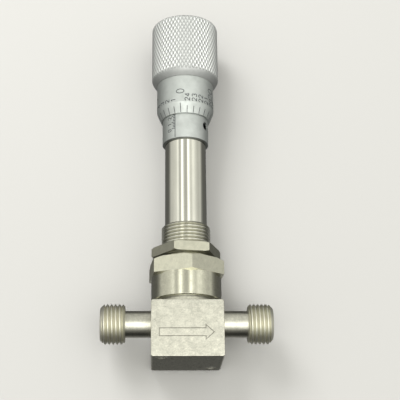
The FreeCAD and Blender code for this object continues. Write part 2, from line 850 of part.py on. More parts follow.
def make_knob_screws(knob):
    """Two set screws, a right angle apart at the back, that grip the thimble through the knob's wall."""
    height = size("knob_screw_height")
    inner = size("thimble_radius")
    length = "knob_radius - thimble_radius - knob_screw_setback"
    screws = []
    for number, angle in enumerate((45, 135)):
        outwards = polar(1, angle, 0)
        upright = Rotation(Vector(0, 0, 1), outwards)
        start = polar(inner - 0.2, angle, height)
        drill(knob, "knob_screw_hole_%d" % number, "knob_screw_radius", "3", start, outwards)
        screw = doc.addObject("Part::Cylinder", "knob_screw_%d" % number)
        bind(screw, Radius="knob_screw_radius - 0.02", Height=length)
        screw.Placement = Placement(polar(inner + 0.01, angle, height), upright)
        key = doc.addObject("Part::Prism", "knob_screw_key_%d" % number)
        key.Polygon = 6
        bind(key, Circumradius="knob_screw_key / sqrt(3)", Height=length)
        key.Placement = Placement(polar(inner + size(length) / 2, angle, height), upright)
        keyed = doc.addObject("Part::Cut", "knob_screw_keyed_%d" % number)
        keyed.Base = screw
        keyed.Tool = key
        screws.append(keyed)
    group = doc.addObject("Part::Compound", "knob_set_screws")
    group.Links = screws
    parts["knob_set_screws"] = group


def write_parts():
    doc.recompute()
    for item in doc.Objects:
        if "Invalid" in item.State or "Error" in item.State:
            raise RuntimeError("failed object: " + item.Name)
    for label, item in parts.items():
        shape = item.Shape
        if shape.isNull() or not shape.isValid() or not shape.Solids:
            raise RuntimeError("bad shape: " + label)
    os.makedirs("parts", exist_ok=True)
    for label, item in parts.items():
        item.Shape.exportStep("parts/%s.step" % label)
        shape = item.Shape
        facts = (label, len(shape.Solids), shape.Volume, shape.BoundBox.ZMin, shape.BoundBox.ZMax)
        print("%-20s %2d solid  %9.2f mm3  z %.2f to %.2f" % facts)


make_valve_body()
make_seals()
make_bellows()
make_bonnet()
make_bonnet_nut()
make_panel_nut()
make_return_spring()
make_stem_train()
make_micrometer_head()
make_handle()
write_parts()
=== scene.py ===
import math

import bpy
import numpy as np
from mathutils import Matrix, Vector


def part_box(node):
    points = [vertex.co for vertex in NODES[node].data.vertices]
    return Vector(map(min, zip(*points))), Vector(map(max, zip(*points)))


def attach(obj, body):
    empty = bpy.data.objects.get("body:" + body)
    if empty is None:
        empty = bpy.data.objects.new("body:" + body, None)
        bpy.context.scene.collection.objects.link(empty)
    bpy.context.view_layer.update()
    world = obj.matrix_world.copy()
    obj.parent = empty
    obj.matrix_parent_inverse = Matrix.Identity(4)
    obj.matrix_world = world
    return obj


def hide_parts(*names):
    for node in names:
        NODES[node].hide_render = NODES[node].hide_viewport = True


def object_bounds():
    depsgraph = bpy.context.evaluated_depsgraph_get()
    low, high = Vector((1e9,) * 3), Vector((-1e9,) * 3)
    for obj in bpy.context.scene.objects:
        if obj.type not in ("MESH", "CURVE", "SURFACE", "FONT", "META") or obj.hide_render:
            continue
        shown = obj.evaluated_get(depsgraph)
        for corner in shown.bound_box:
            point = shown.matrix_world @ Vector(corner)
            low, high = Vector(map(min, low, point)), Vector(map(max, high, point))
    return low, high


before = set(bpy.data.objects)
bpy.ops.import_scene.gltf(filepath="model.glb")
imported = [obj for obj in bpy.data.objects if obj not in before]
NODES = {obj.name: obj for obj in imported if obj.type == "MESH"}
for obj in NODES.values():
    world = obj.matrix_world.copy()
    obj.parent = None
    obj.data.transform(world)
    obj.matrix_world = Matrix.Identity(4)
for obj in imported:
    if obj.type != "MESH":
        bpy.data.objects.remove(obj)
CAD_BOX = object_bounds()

bl_info = {
    "name": "Metering needle valve",
    "version": (1, 0, 0),
    "blender": (4, 5, 0),
    "location": "3D View > Sidebar > Valve",
    "description": "Knurled knob, engraved scales and steel finishes for a bellows-sealed metering valve",
    "category": "Object",
}

MM = 0.001
TURN = 2 * math.pi


# ---------------------------------------------------------------- sizes from the frame


def top_of(node):
    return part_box(node)[1].z


def bottom_of(node):
    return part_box(node)[0].z


def radius_of(node):
    """Reach along +X, which is the radius of a turned piece."""
    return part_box(node)[1].x


KNOB_RADIUS = radius_of("knob")
KNOB_TOP = top_of("knob")
KNOB_BOTTOM = bottom_of("knob")
KNOB_ROOF = KNOB_TOP - 2.55 * MM  # inside of the knob's flat top
THIMBLE_RADIUS = radius_of("thimble")
THIMBLE_RIM = bottom_of("thimble")
THIMBLE_TOP = top_of("thimble")
SLEEVE_RADIUS = radius_of("micrometer_sleeve")
SLEEVE_BOTTOM = bottom_of("micrometer_sleeve")
BLOCK_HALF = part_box("valve_body")[1].y
BODY_FRONT = -BLOCK_HALF
INCH = 25.4 * MM
EDGE_BREAK = 0.12 * MM  # radius of the break on a machined edge

# Where one finish of a piece gives way to another.
END_THREAD = radius_of("valve_body") - 8.8 * MM  # distance from the stem axis to the start of an end thread
ARROW_REACH = 11.0 * MM  # the arrow lies within this of the stem axis
ARROW_CEILING = 12.0 * MM  # and below this height
HEXAGON_BOTTOM = top_of("bonnet_nut") - 5.7 * MM
BETWEEN_NUTS = (top_of("bonnet_nut") + bottom_of("panel_nut")) / 2
PANEL_CREST = 9.0 * MM  # crest radius of the panel thread
TUBE_START = 50.5 * MM  # height at which the panel thread ends and the polished tube starts
KNOB_WALL = KNOB_BOTTOM + 2.8 * MM  # height at which the knob's cone meets the knurled wall


def linear(code):
    """sRGB hex colour as linear red, green, blue."""
    channels = np.array([int(code[i : i + 2], 16) for i in (1, 3, 5)]) / 255
    low = channels / 12.92
    high = ((channels + 0.055) / 1.055) ** 2.4
    return tuple(np.where(channels <= 0.04045, low, high))


# ---------------------------------------------------------------- settings


class KnobSettings(bpy.types.PropertyGroup):
    starts: bpy.props.IntProperty(
        name="Knurl starts", description="Grooves each way round the knob", default=54
    )
    helix: bpy.props.FloatProperty(
        name="Knurl helix",
        description="Angle between a groove and the knob's axis",
        default=math.radians(29.1),
        subtype="ANGLE",
    )
    depth: bpy.props.FloatProperty(
        name="Knurl depth", description="Depth of a groove", default=0.29 * MM, unit="LENGTH", precision=5
    )
    flat: bpy.props.FloatProperty(
        name="Knurl flat",
        description="Share of a diamond's width left flat on top",
        default=0.35,
        subtype="FACTOR",
    )


class ScaleSettings(bpy.types.PropertyGroup):
    divisions: bpy.props.IntProperty(name="Divisions", description="Divisions round the thimble", default=25)
    line: bpy.props.FloatProperty(
        name="Line width",
        description="Width of an engraved line",
        default=0.28 * MM,
        unit="LENGTH",
        precision=5,
    )
    zero_angle: bpy.props.FloatProperty(
        name="Zero line",
        description="Angle of the thimble's zero from the arrow side, anticlockwise from above",
        default=math.radians(-12),
        subtype="ANGLE",
    )
    datum_angle: bpy.props.FloatProperty(
        name="Datum line",
        description="Angle of the sleeve's line from the arrow side",
        default=math.radians(-28.2),
        subtype="ANGLE",
    )
    small_digit: bpy.props.FloatProperty(
        name="Small numbers",
        description="Height of the small numbers",
        default=1.9 * MM,
        unit="LENGTH",
        precision=5,
    )
    large_digit: bpy.props.FloatProperty(
        name="Large numbers",
        description="Height of the large numbers",
        default=3.1 * MM,
        unit="LENGTH",
        precision=5,
    )
    ink: bpy.props.StringProperty(name="Line colour", description="sRGB hex", default="#2A2C2D")


class FinishSettings(bpy.types.PropertyGroup):
    body: bpy.props.StringProperty(name="Body steel", description="sRGB hex", default="#D8D6C7")
    turned: bpy.props.StringProperty(name="Turned steel", description="sRGB hex", default="#D6D4C0")
    polished: bpy.props.StringProperty(name="Polished steel", description="sRGB hex", default="#DBDACD")
    satin: bpy.props.StringProperty(name="Satin chrome", description="sRGB hex", default="#CACECA")
    knob: bpy.props.StringProperty(name="Knob", description="sRGB hex", default="#E8EAE7")


class StageSettings(bpy.types.PropertyGroup):
    floor: bpy.props.StringProperty(name="Floor colour", description="sRGB hex", default="#F0EFEC")
    back: bpy.props.StringProperty(name="Back colour", description="sRGB hex", default="#B3B2AF")
    lens: bpy.props.FloatProperty(name="Lens", description="Focal length", default=88.2, unit="CAMERA")
    camera_place: bpy.props.FloatVectorProperty(
        name="Camera place",
        description="From the centre of the body's bottom",
        default=(-11.486 * MM, -342.9 * MM, -69.1 * MM),
        subtype="TRANSLATION",
        precision=5,
    )
    pitch: bpy.props.FloatProperty(name="Pitch", description="Turn upwards", default=0.364, subtype="ANGLE")
    yaw: bpy.props.FloatProperty(name="Yaw", description="Turn to the right", default=0.049, subtype="ANGLE")
    roll: bpy.props.FloatProperty(name="Roll", description="Turn clockwise", default=0.012, subtype="ANGLE")


# ---------------------------------------------------------------- meshes


def make_piece(name, points, faces, body, material, smooth_angle=30):
    """Mesh object from points and quads or triangles, riding a body and its material."""
    mesh = bpy.data.meshes.new(name)
    mesh.from_pydata(points.tolist(), [], faces.tolist())
    mesh.validate()
    mesh.shade_smooth()
    mesh.set_sharp_from_angle(angle=math.radians(smooth_angle))
    mesh.materials.append(material)
    piece = bpy.data.objects.new(name, mesh)
    bpy.context.scene.collection.objects.link(piece)
    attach(piece, body)
    return piece


def triangle_wave(phase):
    """0 at every whole number, 1 half-way between."""
    return 1 - np.abs(2 * (phase % 1) - 1)


def band_corners(rows, columns):
    """Quads between neighbouring rings of points: their four corners, and each quad's row and column."""
    row, column = np.meshgrid(np.arange(rows - 1), np.arange(columns), indexing="ij")
    a = row * columns + column
    b = row * columns + (column + 1) % columns
    c = b + columns
    d = a + columns
    return a.ravel(), b.ravel(), c.ravel(), d.ravel(), row.ravel(), column.ravel()


def cylinder_point(radius, angle, height):
    """Place at a radius, an angle and a height. Angle 0 faces the arrow side (-Y) and grows towards +X."""
    return np.stack([radius * np.sin(angle), -radius * np.cos(angle), height + 0 * angle], axis=-1)


# ---------------------------------------------------------------- materials

# Tool rings, grit marks and polishing streaks are drawn 0.1 to 0.2 mm apart, several times as coarse as the
# real ones, which would be too fine to show.


def new_material(name):
    material = bpy.data.materials.new(name)
    material.use_nodes = True
    return material, material.node_tree


def connect(tree, made, inputs):
    """Fills a node's inputs, by name or number, with values, sockets or other nodes' first outputs."""
    for key, value in inputs.items():
        if isinstance(value, bpy.types.Node):
            value = value.outputs[0]
        if isinstance(value, bpy.types.NodeSocket):
            tree.links.new(value, made.inputs[key])
        else:
            made.inputs[key].default_value = value
    return made


def node(tree, kind, inputs=None, **attributes):
    """Adds a node, sets its attributes and fills its inputs."""
    made = tree.nodes.new(kind)
    for key, value in attributes.items():
        setattr(made, key, value)
    return connect(tree, made, inputs or {})


def object_place(tree, scale=(1, 1, 1), move=(0, 0, 0), turn=(0, 0, 0)):
    """Object coordinates turned about the origin, then multiplied by a scale for each axis, then moved."""
    place = node(tree, "ShaderNodeTexCoord").outputs["Object"]
    if any(turn):
        turned = {"Vector": place, "Rotation": turn}
        place = node(tree, "ShaderNodeVectorRotate", turned, rotation_type="EULER_XYZ")
    return node(tree, "ShaderNodeMapping", {"Vector": place, "Scale": scale, "Location": move})


def coordinate(tree, axis):
    """Object coordinate along X, Y or Z, by number."""
    return node(tree, "ShaderNodeSeparateXYZ", {"Vector": object_place(tree)}).outputs[axis]


def distance(tree, kept, move=(0, 0, 0)):
    """Distance from the origin once moved; kept is 1 for each coordinate that counts and 0 for the others."""
    place = object_place(tree, kept, move)
    return node(tree, "ShaderNodeVectorMath", {0: place}, operation="LENGTH").outputs["Value"]


def patches(tree, size, detail, stretch=(1, 1, 1), roughness=0.55, turn=(0, 0, 0)):
    """Noise in patches of size metres, drawn out by stretch along each axis of the turned coordinates."""
    place = object_place(tree, [1 / (size * part) for part in stretch], turn=turn)
    grain = {"Vector": place, "Scale": 1.0, "Detail": detail, "Roughness": roughness}
    return node(tree, "ShaderNodeTexNoise", grain)


def spread(tree, pattern, low, high):
    """Noise of 0.3 to 0.7 mapped to low to high."""
    limits = {"From Min": 0.3, "From Max": 0.7, "To Min": low, "To Max": high}
    return node(tree, "ShaderNodeMapRange", {"Value": pattern, **limits})


def mask(tree, value, none, full):
    """0 where a value is at none, 1 where it is at full or past it; full may be the smaller of the two."""
    return node(tree, "ShaderNodeMapRange", {"Value": value, "From Min": none, "From Max": full})


def above(tree, height):
    """1 above a height, 0 below it."""
    return mask(tree, coordinate(tree, 2), height - 0.05 * MM, height + 0.05 * MM)


def both(tree, first, second):
    """Product of two masks or shares: 1 where both are 1."""
    return node(tree, "ShaderNodeMath", {0: first, 1: second}, operation="MULTIPLY")


def outside(tree, area):
    """1 where a mask is 0, and 0 where it is 1."""
    return node(tree, "ShaderNodeMath", {0: 1.0, 1: area}, operation="SUBTRACT")


def by_area(tree, area, elsewhere, there):
    """One value where a mask is 0 and another where it is 1."""
    return node(tree, "ShaderNodeMix", {0: area, 2: elsewhere, 3: there}, data_type="FLOAT")


def two_tone(tree, share, dark, light):
    """From the dark sRGB colour at share 0 to the light one at share 1."""
    tones = {6: (*linear(dark), 1), 7: (*linear(light), 1)}
    return node(tree, "ShaderNodeMix", {0: share, **tones}, data_type="RGBA").outputs[2]


def darker(code, factor):
    """sRGB hex colour with each channel multiplied by a factor."""
    channels = [round(int(code[i : i + 2], 16) * factor) for i in (1, 3, 5)]
    return "#%02X%02X%02X" % tuple(min(255, c) for c in channels)


def shade(tree, colour, area, left):
    """Colour that keeps only the share left of its brightness where the mask is 1."""
    kept = outside(tree, both(tree, area, 1 - left))
    return node(tree, "ShaderNodeVectorMath", {"Vector": colour, "Scale": kept}, operation="SCALE")


def broken_edges(tree, radius):
    """Normal with a rounded break of this radius on every edge."""
    return node(tree, "ShaderNodeBevel", {"Radius": radius}, samples=4)


def edge_wear(tree, radius):
    """1 where the surface bends within radius metres, 0 on open faces: handled edges are burnished there."""
    true = node(tree, "ShaderNodeNewGeometry").outputs["Normal"]
    pair = {0: broken_edges(tree, radius), 1: true}
    bend = outside(tree, node(tree, "ShaderNodeVectorMath", pair, operation="DOT_PRODUCT").outputs["Value"])
    return node(tree, "ShaderNodeMath", {0: bend, 1: 6.0}, operation="MULTIPLY", use_clamp=True)


def finish_metal(tree, colour, gloss, reliefs, normal=None):
    """Gives a metal its colour and its roughness, and lays its reliefs over each other.

    Each relief is a pattern, the strength it is felt with and its height in metres.
    """
    for pattern, strength, height in reliefs:
        relief = {"Height": pattern, "Strength": strength, "Distance": height}
        if normal is not None:
            relief["Normal"] = normal
        normal = node(tree, "ShaderNodeBump", relief)
    shader = tree.nodes["Principled BSDF"]
    connect(tree, shader, {"Base Color": colour, "Roughness": gloss, "Normal": normal, "Metallic": 1.0})


def metal(name, colour, roughness, patch, grain, height, rings=False, worn=False, uneven=0.3):
    """Bare or plated metal with patchy colour and gloss and a fine grain.

    patch and grain are metres across, and height is the grain's, in metres. rings adds the lines of a lathe
    tool round Z, worn rounds and burnishes the edges, and uneven is the share by which the roughness strays.
    """
    material, tree = new_material(name)
    cloud = patches(tree, patch, 4.0)
    tint = two_tone(tree, spread(tree, cloud, 0, 1), darker(colour, 0.93), colour)
    gloss = spread(tree, cloud, roughness * (1 + uneven), roughness * (1 - uneven))
    normal = None
    if worn:
        gloss = both(tree, gloss, outside(tree, both(tree, edge_wear(tree, 0.22 * MM), 0.45)))
        normal = broken_edges(tree, EDGE_BREAK)
    reliefs = [(patches(tree, grain, 2.0), 0.5, height)]
    if rings:
        reliefs.append((patches(tree, 0.1 * MM, 3.0, (50, 50, 1)), 0.6, 0.004 * MM))
    finish_metal(tree, tint, gloss, reliefs, normal)
    return material


def scratches(tree, angle):
    """Fine straight marks left by an abrasive drawn across the faces at an angle to the flow axis."""
    lines = patches(tree, 0.16 * MM, 2.0, (22, 22, 1), 0.6, (0, math.radians(angle), 0))
    return mask(tree, lines, 0.53, 0.7)


def mottle(tree):
    """Clouds about two millimetres across with half-millimetre grain in them, in equal shares."""
    cloud = patches(tree, 1.9 * MM, 4.0)
    grain = patches(tree, 0.55 * MM, 3.0, roughness=0.7)
    return node(tree, "ShaderNodeMix", {0: 0.5, 2: cloud, 3: grain}, data_type="FLOAT")


def arrow_floor(tree):
    """1 in the shallow groove that outlines the arrow, which is drawn darker."""
    depth = coordinate(tree, 1)
    sunk = mask(tree, depth, BODY_FRONT + 0.03 * MM, BODY_FRONT + 0.08 * MM)
    shallow = mask(tree, depth, BODY_FRONT + 0.4 * MM, BODY_FRONT + 0.3 * MM)
    beside = mask(tree, distance(tree, (1, 0, 0)), ARROW_REACH, ARROW_REACH - 0.2 * MM)
    below = mask(tree, coordinate(tree, 2), ARROW_CEILING, ARROW_CEILING - 0.2 * MM)
    return both(tree, both(tree, sunk, shallow), both(tree, beside, below))


def body_steel(settings):
    """Stainless steel 316: the block is ground and rubbed with an abrasive, so it is bright but cloudy with
    fine marks across it; its necks are turned about X, so they are smoother, and their threads are left as
    cut."""
    material, tree = new_material("stainless_316_ground_body")
    across = distance(tree, (1, 0, 0))
    turned = mask(tree, across, BLOCK_HALF, BLOCK_HALF + 0.05 * MM)
    threaded = mask(tree, across, END_THREAD - 0.2 * MM, END_THREAD)
    cloud = mottle(tree)
    marks = node(tree, "ShaderNodeMath", {0: scratches(tree, 38), 1: scratches(tree, -12)}, operation="ADD")
    marks = both(tree, marks, outside(tree, turned))
    clean = node(tree, "ShaderNodeMath", {0: spread(tree, cloud, 0, 1), 1: threaded}, operation="MAXIMUM")
    tint = shade(tree, two_tone(tree, clean, darker(settings.body, 0.76), settings.body), marks, 0.86)
    tint = shade(tree, tint, arrow_floor(tree), 0.55)
    rubbed = {0: marks, 1: 0.06, 2: spread(tree, cloud, 0.46, 0.36)}
    rubbed = node(tree, "ShaderNodeMath", rubbed, operation="MULTIPLY_ADD")
    gloss = by_area(tree, turned, rubbed, spread(tree, cloud, 0.36, 0.27))
    gloss = by_area(tree, threaded, gloss, spread(tree, cloud, 0.48, 0.4))
    rings = both(tree, patches(tree, 0.12 * MM, 2.0, (1, 60, 60)), turned)
    reliefs = [(cloud, 0.3, 0.02 * MM), (rings, 0.4, 0.008 * MM)]
    finish_metal(tree, tint, gloss, reliefs, broken_edges(tree, EDGE_BREAK))
    return material


def bonnet_steel(settings):
    """Stainless steel 316, turned about Z: the panel thread is left as cut, with painted shade darkening its
    roots, and the tube above it is polished, so light runs down it in long narrow streaks crossed by faint
    tool rings."""
    material, tree = new_material("stainless_316_polished_tube")
    tube = above(tree, TUBE_START)
    deep = mask(tree, distance(tree, (1, 1, 0)), PANEL_CREST - 0.12 * MM, PANEL_CREST - 0.7 * MM)
    cloud = patches(tree, 3 * MM, 4.0, (1, 1, 4))
    tint = two_tone(tree, spread(tree, cloud, 0, 1), darker(settings.polished, 0.95), settings.polished)
    # Painted shade in the roots of the panel thread.
    tint = shade(tree, tint, both(tree, outside(tree, tube), deep), 0.8)
    gloss = by_area(tree, tube, spread(tree, cloud, 0.28, 0.2), spread(tree, cloud, 0.13, 0.085))
    streaks = (patches(tree, 0.1 * MM, 2.0, (1, 1, 120)), 0.2, 0.003 * MM)
    rings = (patches(tree, 0.16 * MM, 2.0, (60, 60, 1)), 0.3, 0.004 * MM)
    finish_metal(tree, tint, gloss, [streaks, rings])
    return material


def nut_steel(settings):
    """Stainless steel 316 hexagon bar: milled flats are cloudy with fine marks, and the skirt below the
    hexagon is turned about Z, so it is smoother and crossed by faint rings. The panel nut is drawn darker."""
    material, tree = new_material("stainless_316_milled_hexagon")
    skirt = outside(tree, above(tree, HEXAGON_BOTTOM))
    cloud = mottle(tree)
    marks = both(tree, scratches(tree, 70), outside(tree, skirt))
    tint = two_tone(tree, spread(tree, cloud, 0, 1), darker(settings.turned, 0.88), settings.turned)
    tint = shade(tree, shade(tree, tint, above(tree, BETWEEN_NUTS), 0.78), marks, 0.9)
    gloss = by_area(tree, skirt, spread(tree, cloud, 0.42, 0.32), spread(tree, cloud, 0.2, 0.14))
    rings = patches(tree, 0.14 * MM, 3.0, (60, 60, 1))
    reliefs = [(cloud, 0.3, 0.015 * MM), (rings, 0.4, 0.005 * MM)]
    finish_metal(tree, tint, gloss, reliefs, broken_edges(tree, EDGE_BREAK))
    return material


def facing_rings(tree, spacing):
    """Noise that changes only with the distance from the stem axis: the rings of a faced end."""
    steps = node(tree, "ShaderNodeMath", {0: distance(tree, (1, 1, 0)), 1: spacing}, operation="DIVIDE")
    place = node(tree, "ShaderNodeCombineXYZ", {"X": steps})
    return node(tree, "ShaderNodeTexNoise", {"Vector": place, "Scale": 1.0, "Detail": 2.0})


def knurl_plate(settings, depth):
    """Satin plate on a rolled knurl: painted shade greys the grooves, the plain cone below is grey, and the
    flat top has faint facing rings."""
    material, tree = new_material("steel_rolled_knurl_satin_plated")
    height = coordinate(tree, 2)
    over_cone = mask(tree, height, KNOB_WALL - 0.1 * MM, KNOB_WALL + 0.1 * MM)
    under_rim = mask(tree, height, KNOB_TOP - 0.4 * MM, KNOB_TOP - 0.55 * MM)
    wall = both(tree, over_cone, under_rim)
    groove = mask(tree, distance(tree, (1, 1, 0)), KNOB_RADIUS - 0.2 * depth, KNOB_RADIUS - 0.95 * depth)
    cloud = patches(tree, 2.5 * MM, 4.0)
    tint = two_tone(tree, spread(tree, cloud, 0, 1), darker(settings.knob, 0.96), settings.knob)
    # Painted shade in the knurl's grooves.
    tint = shade(tree, tint, both(tree, groove, wall), 0.68)
    tint = shade(tree, tint, outside(tree, wall), 0.62)
    gloss = by_area(tree, wall, spread(tree, cloud, 0.6, 0.52), spread(tree, cloud, 0.36, 0.29))
    rings = both(tree, facing_rings(tree, 0.22 * MM), above(tree, KNOB_TOP - 0.3 * MM))
    reliefs = [(patches(tree, 0.12 * MM, 2.0), 0.4, 0.005 * MM), (rings, 0.6, 0.012 * MM)]
    finish_metal(tree, tint, gloss, reliefs)
    return material


def satin_chrome(settings, name, shade_level=None):
    """Hard chrome plate over blasted steel: an even, soft grey sheen with a very fine grain. Below the shade
    level the colour is darkened: painted shade for the shadow line under the sleeve's edge."""
    material = metal(name, settings.satin, 0.52, 4 * MM, 0.1 * MM, 0.004 * MM, worn=True, uneven=0.1)
    if shade_level is not None:
        tree = material.node_tree
        shader = tree.nodes["Principled BSDF"]
        clean = shader.inputs["Base Color"].links[0].from_socket
        # Painted shade: the lowest edge is darkened to stand for the shadow under it.
        painted_shade = outside(tree, above(tree, shade_level))
        connect(tree, shader, {"Base Color": shade(tree, clean, painted_shade, 0.4)})
    return material


def filling_wax(colour):
    """Black engraver's filling wax, rubbed into cut lines: dull, nearly black, slightly uneven."""
    material, tree = new_material("engraving_wax_rubbed_in")
    cloud = patches(tree, 0.3 * MM, 2.0)
    tint = two_tone(tree, spread(tree, cloud, 0, 1), colour, darker(colour, 1.6))
    gloss = spread(tree, cloud, 0.5, 0.7)
    connect(tree, tree.nodes["Principled BSDF"], {"Base Color": tint, "Roughness": gloss})
    return material


# ---------------------------------------------------------------- knob


KNOB_FIT = 0.005 * MM  # gap between the knob's bore and the thimble
HUB_RING = 0.4 * MM  # radius of the smallest ring of points round the middle of a flat face


def knob_profile(step):
    """Outside of the knob from its lower lip to the centre of its top: a rounded cone, a straight wall and a
    small chamfer. Returns radii and heights with rows step apart on the wall.

    The cone's radius swells from the lip's to the knob's as the sine of an angle that grows with the height.
    """
    lip = np.array([[THIMBLE_RADIUS + KNOB_FIT, KNOB_BOTTOM]])
    lip_break = THIMBLE_RADIUS + 0.22 * MM
    swell = np.linspace(0, 1, 16)
    full_angle = 1.25
    share = np.sin(swell * full_angle) / math.sin(full_angle)
    cone_height = KNOB_BOTTOM + 0.04 * MM + 2.75 * MM * swell
    cone = np.stack([lip_break + (KNOB_RADIUS - lip_break) * share, cone_height], axis=1)
    wall_start = cone_height[-1] + step
    wall_end = KNOB_TOP - 0.5 * MM
    count = int((wall_end - wall_start) / step)
    heights = wall_start + step * np.arange(count)
    wall = np.stack([np.full(count, KNOB_RADIUS), heights], axis=1)
    chamfer = [(0, wall_end), (0.25 * MM, KNOB_TOP - 0.2 * MM), (0.55 * MM, KNOB_TOP)]
    rim = np.array([(KNOB_RADIUS - inwards, height) for inwards, height in chamfer])
    top = np.stack([np.linspace(KNOB_RADIUS - 1.2 * MM, HUB_RING, 8), np.full(8, KNOB_TOP)], axis=1)
    return np.concatenate([lip, cone, wall, rim, top])


def knob_bore():
    """Inside of the knob from the centre of its roof down to the lip."""
    fit = THIMBLE_RADIUS + KNOB_FIT
    cavity = 8.5 * MM
    ledge = THIMBLE_TOP + 0.01 * MM
    return np.array([(HUB_RING, KNOB_ROOF), (cavity, KNOB_ROOF), (cavity, ledge), (fit, ledge)])


def knurl(settings, angle, height):
    """Diamond knurl: the depth under the outer surface where two families of V grooves cross.

    A groove of each family is a helix: its phase is starts times the angle round the knob, plus or minus the
    height over the wavelength that gives the helix angle. The surface follows the deeper of the two grooves.
    """
    pitch = TURN * KNOB_RADIUS / settings.starts
    wave = pitch / math.tan(settings.helix)
    round_phase = angle * settings.starts / TURN
    one = triangle_wave(round_phase + height / wave)
    other = triangle_wave(round_phase - height / wave)
    rise = np.minimum(np.minimum(one, other) / (1 - settings.flat), 1)
    return settings.depth * (1 - rise)


def make_knob(settings, material):
    """The profile turned round the stem axis, with the knurl and the screw holes taken from its radius."""
    steps = 10
    columns = settings.starts * steps
    pitch = TURN * KNOB_RADIUS / settings.starts
    outer = knob_profile(pitch / math.tan(settings.helix) / steps)
    profile = np.concatenate([outer, knob_bore()])
    rows = len(profile)
    crown = len(outer) - 1
    angle = TURN * np.arange(columns) / columns
    radius = np.repeat(profile[:, 0, None], columns, axis=1)
    height = np.repeat(profile[:, 1, None], columns, axis=1)
    cut = KNOB_RADIUS - knurl(settings, angle, height - KNOB_BOTTOM)
    on_side = (np.arange(rows) <= crown)[:, None] & (height < KNOB_TOP - 0.05 * MM)
    radius = np.where(on_side, np.minimum(radius, cut), radius)
    radius = sink_screw_holes(radius, angle, height, on_side)
    hubs = np.array([(0, 0, KNOB_TOP), (0, 0, KNOB_ROOF)])
    points = np.concatenate([cylinder_point(radius, angle, height).reshape(-1, 3), hubs])

    a, b, c, d, row, column = band_corners(rows, columns)
    leaning = ((row + column) % 2 == 0)[:, None]
    first = np.where(leaning, np.stack([a, b, c], axis=1), np.stack([a, b, d], axis=1))
    second = np.where(leaning, np.stack([a, c, d], axis=1), np.stack([b, c, d], axis=1))
    kept = row != crown
    lip = closing_faces(columns, rows - 1, 0)
    top = fan(columns, crown, rows * columns, True)
    roof = fan(columns, crown + 1, rows * columns + 1, False)
    faces = np.concatenate([first[kept], second[kept], lip, top, roof])
    piece = make_piece("knurled_knob", points, faces, "handle", material, smooth_angle=24)
    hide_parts("knob")


def closing_faces(columns, last, first):
    """Two triangles for each column between a last row and a first row."""
    column = np.arange(columns)
    following = (column + 1) % columns
    a, b = last * columns + column, last * columns + following
    c, d = first * columns + following, first * columns + column
    return np.concatenate([np.stack([a, b, c], axis=1), np.stack([a, c, d], axis=1)])


def fan(columns, row, hub, upwards):
    """Triangles from a row of points to one point on the axis."""
    column = np.arange(columns)
    a, b = row * columns + column, row * columns + (column + 1) % columns
    corners = [a, b, np.full(columns, hub)] if upwards else [b, a, np.full(columns, hub)]
    return np.stack(corners, axis=1)


def sink_screw_holes(radius, angle, height, on_side):
    """Round holes down to the set screws: points within a hole's radius of its axis drop to its floor."""
    low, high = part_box("knob_set_screws")
    centre_height = (low.z + high.z) / 2
    hole = 1.25 * MM
    floor = THIMBLE_RADIUS + 0.9 * MM
    for direction in (math.radians(135), math.radians(225)):
        off_axis = np.hypot(KNOB_RADIUS * np.sin(angle - direction), height - centre_height)
        inside = on_side & (np.cos(angle - direction) > 0) & (off_axis < hole)
        radius = np.where(inside, floor, radius)
    return radius


# ---------------------------------------------------------------- engraved strokes


def arc(centre, radii, start, end, count=15):
    """Points of an elliptical arc, angles in degrees."""
    angle = np.radians(np.linspace(start, end, count))
    return np.stack([centre[0] + radii[0] * np.cos(angle), centre[1] + radii[1] * np.sin(angle)], axis=1)


def line(*corners, count=6):
    """Points along straight runs between corners."""
    ends = np.array(corners, float)
    share = np.linspace(0, 1, count)[:, None]
    runs = [ends[i] + (ends[i + 1] - ends[i]) * share for i in range(len(ends) - 1)]
    return np.concatenate([runs[0]] + [run[1:] for run in runs[1:]])


def digit(figure):
    """Strokes of a plain engraver's figure in a box 0.6 wide and 1 high."""
    six = [arc((0.3, 0.29), (0.27, 0.27), 0, 360, 24), arc((0.56, 0.32), (0.53, 0.66), 100, 180)]
    figures = {
        "0": [arc((0.3, 0.5), (0.27, 0.48), 0, 360, 28)],
        "1": [line((0.12, 0.78), (0.34, 0.98), (0.34, 0.02))],
        "2": [np.concatenate([arc((0.3, 0.71), (0.26, 0.27), 165, -35), line((0.04, 0.02), (0.57, 0.02))])],
        "3": [arc((0.28, 0.75), (0.24, 0.23), 150, -85), arc((0.28, 0.27), (0.28, 0.25), 88, -150)],
        "4": [line((0.42, 0.02), (0.42, 0.98), (0.03, 0.3), (0.58, 0.3))],
        "5": [line((0.53, 0.97), (0.12, 0.97), (0.08, 0.54)), arc((0.28, 0.32), (0.28, 0.3), 135, -150)],
        "6": six,
        "7": [line((0.04, 0.97), (0.56, 0.97), (0.2, 0.02))],
        "8": [arc((0.3, 0.75), (0.21, 0.23), 0, 360, 24), arc((0.3, 0.27), (0.27, 0.25), 0, 360, 24)],
        "9": [np.array([0.6, 1.0]) - stroke for stroke in six],
    }
    return figures[figure]


def number_strokes(text, height, corner, stretch=1.0):
    """Strokes of a number written up the axis from a corner, the tops of its figures to the left.

    Points are (distance to the right, height up) in metres; stretch widens the figures.
    """
    advance = 0.78
    strokes = []
    for place, figure in enumerate(text):
        for stroke in digit(figure):
            along = (stroke[:, 0] + place * advance) * height * stretch
            across = -stroke[:, 1] * height
            strokes.append(np.stack([corner[0] + across, corner[1] + along], axis=1))
    return strokes


